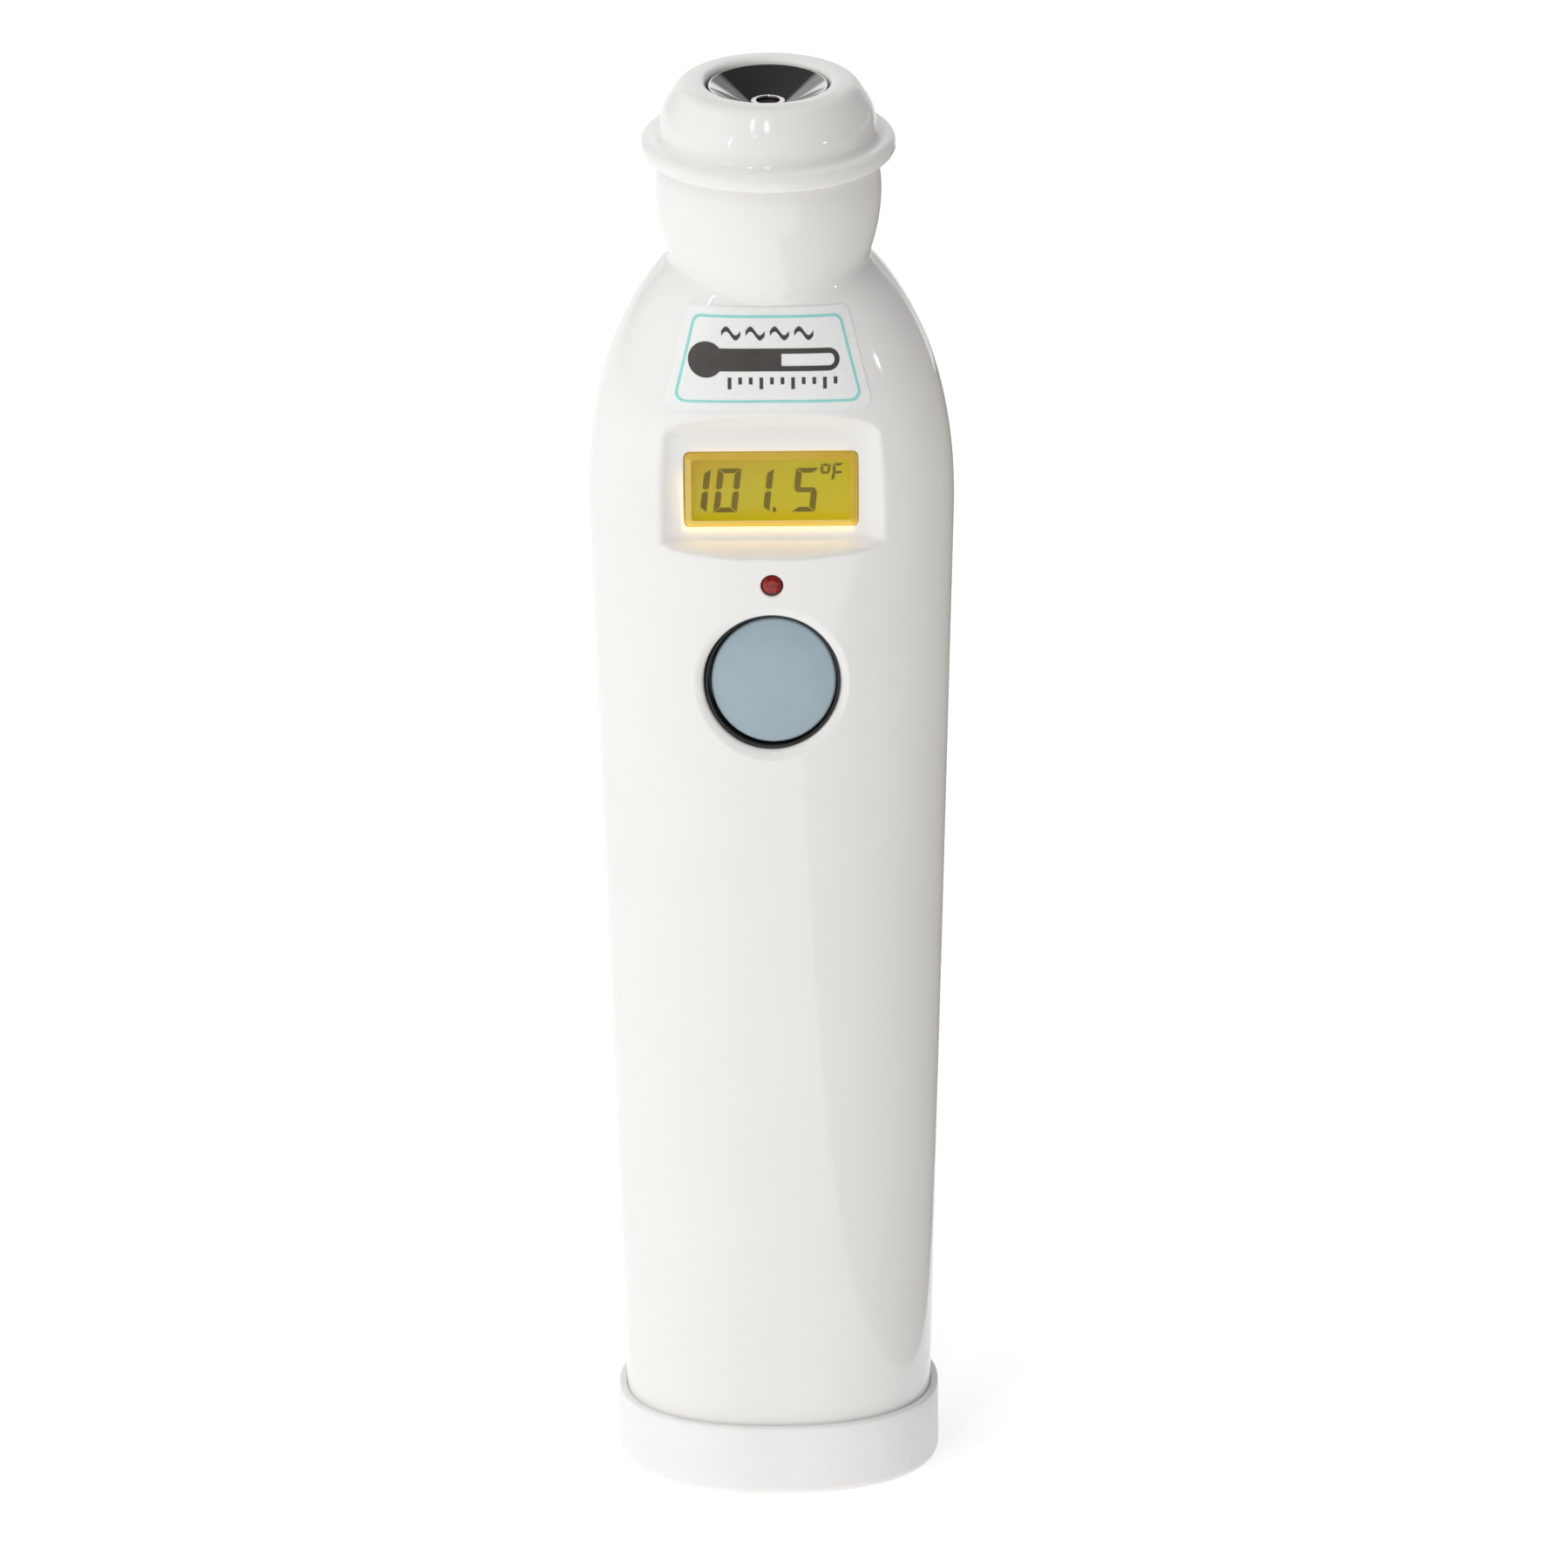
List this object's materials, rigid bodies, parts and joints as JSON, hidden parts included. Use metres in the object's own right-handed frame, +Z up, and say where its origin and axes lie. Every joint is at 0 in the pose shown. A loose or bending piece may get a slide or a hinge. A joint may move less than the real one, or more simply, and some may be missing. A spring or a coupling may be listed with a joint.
{
  "type": "infrared forehead thermometer",
  "caption": "Hand-held infrared thermometer with a domed cup probe, mirror cone, backlit display, round push button and a protective cap parked on its foot.",
  "frame": {"origin": "centre of the protective cap's flat underside, on the axis of the handle", "axes": "+Z up along the handle to the probe, -Y out of the display and button, +X to the right as the user reads the display"},
  "size_m": [0.0424, 0.032, 0.172],
  "materials": {
    "shell_white": "glossy warm white ABS",
    "cap_white": "soft milky polypropylene",
    "button_grey": "satin grey-blue",
    "black_plastic": "satin black",
    "mirror_metal": "polished",
    "sensor_glass": "dark infrared filter",
    "steel": "plain zinc-plated",
    "amber_window": "clear polished acrylic",
    "lcd_green": "backlit display",
    "pale_plastic": "satin",
    "zebra_rubber": "satin",
    "lamp_red": "clear tinted epoxy",
    "board_green": "solder mask",
    "chip_black": "moulded epoxy",
    "label_white": "printed film",
    "battery_case": "printed sleeve",
    "wire_red": "satin",
    "wire_black": "satin"
  },
  "bodies": {
    "handle": {"front_cover": "shell_white", "rear_cover": "shell_white", "battery_door": "shell_white", "probe_cup": "shell_white", "button_bezel": "black_plastic", "cone_holder": "black_plastic", "switch_body": "black_plastic", "battery_snap": "black_plastic", "buzzer": "black_plastic", "reflector_cone": "mirror_metal", "sensor_can": "mirror_metal", "sensor_window": "sensor_glass", "shell_screw_1": "steel", "shell_screw_2": "steel", "shell_screw_3": "steel", "shell_screw_4": "steel", "door_screw": "steel", "board_screw_1": "steel", "board_screw_2": "steel", "board_screw_3": "steel", "board_screw_4": "steel", "crystal": "steel", "capacitor": "steel", "sensor_header": "steel", "display_window": "amber_window", "lcd_glass": "lcd_green", "lcd_frame": "pale_plastic", "backlight_guide": "pale_plastic", "sensor_connector": "pale_plastic", "battery_connector": "pale_plastic", "sensor_cable": "pale_plastic", "backlight_led_left": "pale_plastic", "backlight_led_right": "pale_plastic", "contact_strip_upper": "zebra_rubber", "contact_strip_lower": "zebra_rubber", "status_led": "lamp_red", "main_board": "board_green", "sensor_board": "board_green", "microcontroller": "chip_black", "amplifier_chip": "chip_black", "memory_chip": "chip_black", "front_badge": "label_white", "rear_label": "label_white", "battery": "battery_case", "red_lead": "wire_red", "black_lead": "wire_black"},
    "button_key": {"button": "button_grey"},
    "plunger": {"switch_plunger": "pale_plastic"},
    "cap": {"protective_cap": "cap_white"}
  },
  "joints": [
    {"name": "handle_lift", "type": "slide", "parent": "cap", "child": "handle", "axis": [0, 0, 1], "range_m": [0, 0.03]},
    {"name": "button_press", "type": "slide", "parent": "handle", "child": "button_key", "axis": [0, 0.9986, -0.0523], "range_m": [0, 0.0007], "stiffness_N_per_m": 1500, "springref_m": -0.0005},
    {"name": "plunger_press", "type": "slide", "parent": "handle", "child": "plunger", "axis": [0, 1, 0], "range_m": [0, 0.00027]}
  ],
  "couplings": [
    {"joint": "plunger_press", "follows": "button_press", "ratio": 0.357}
  ]
}
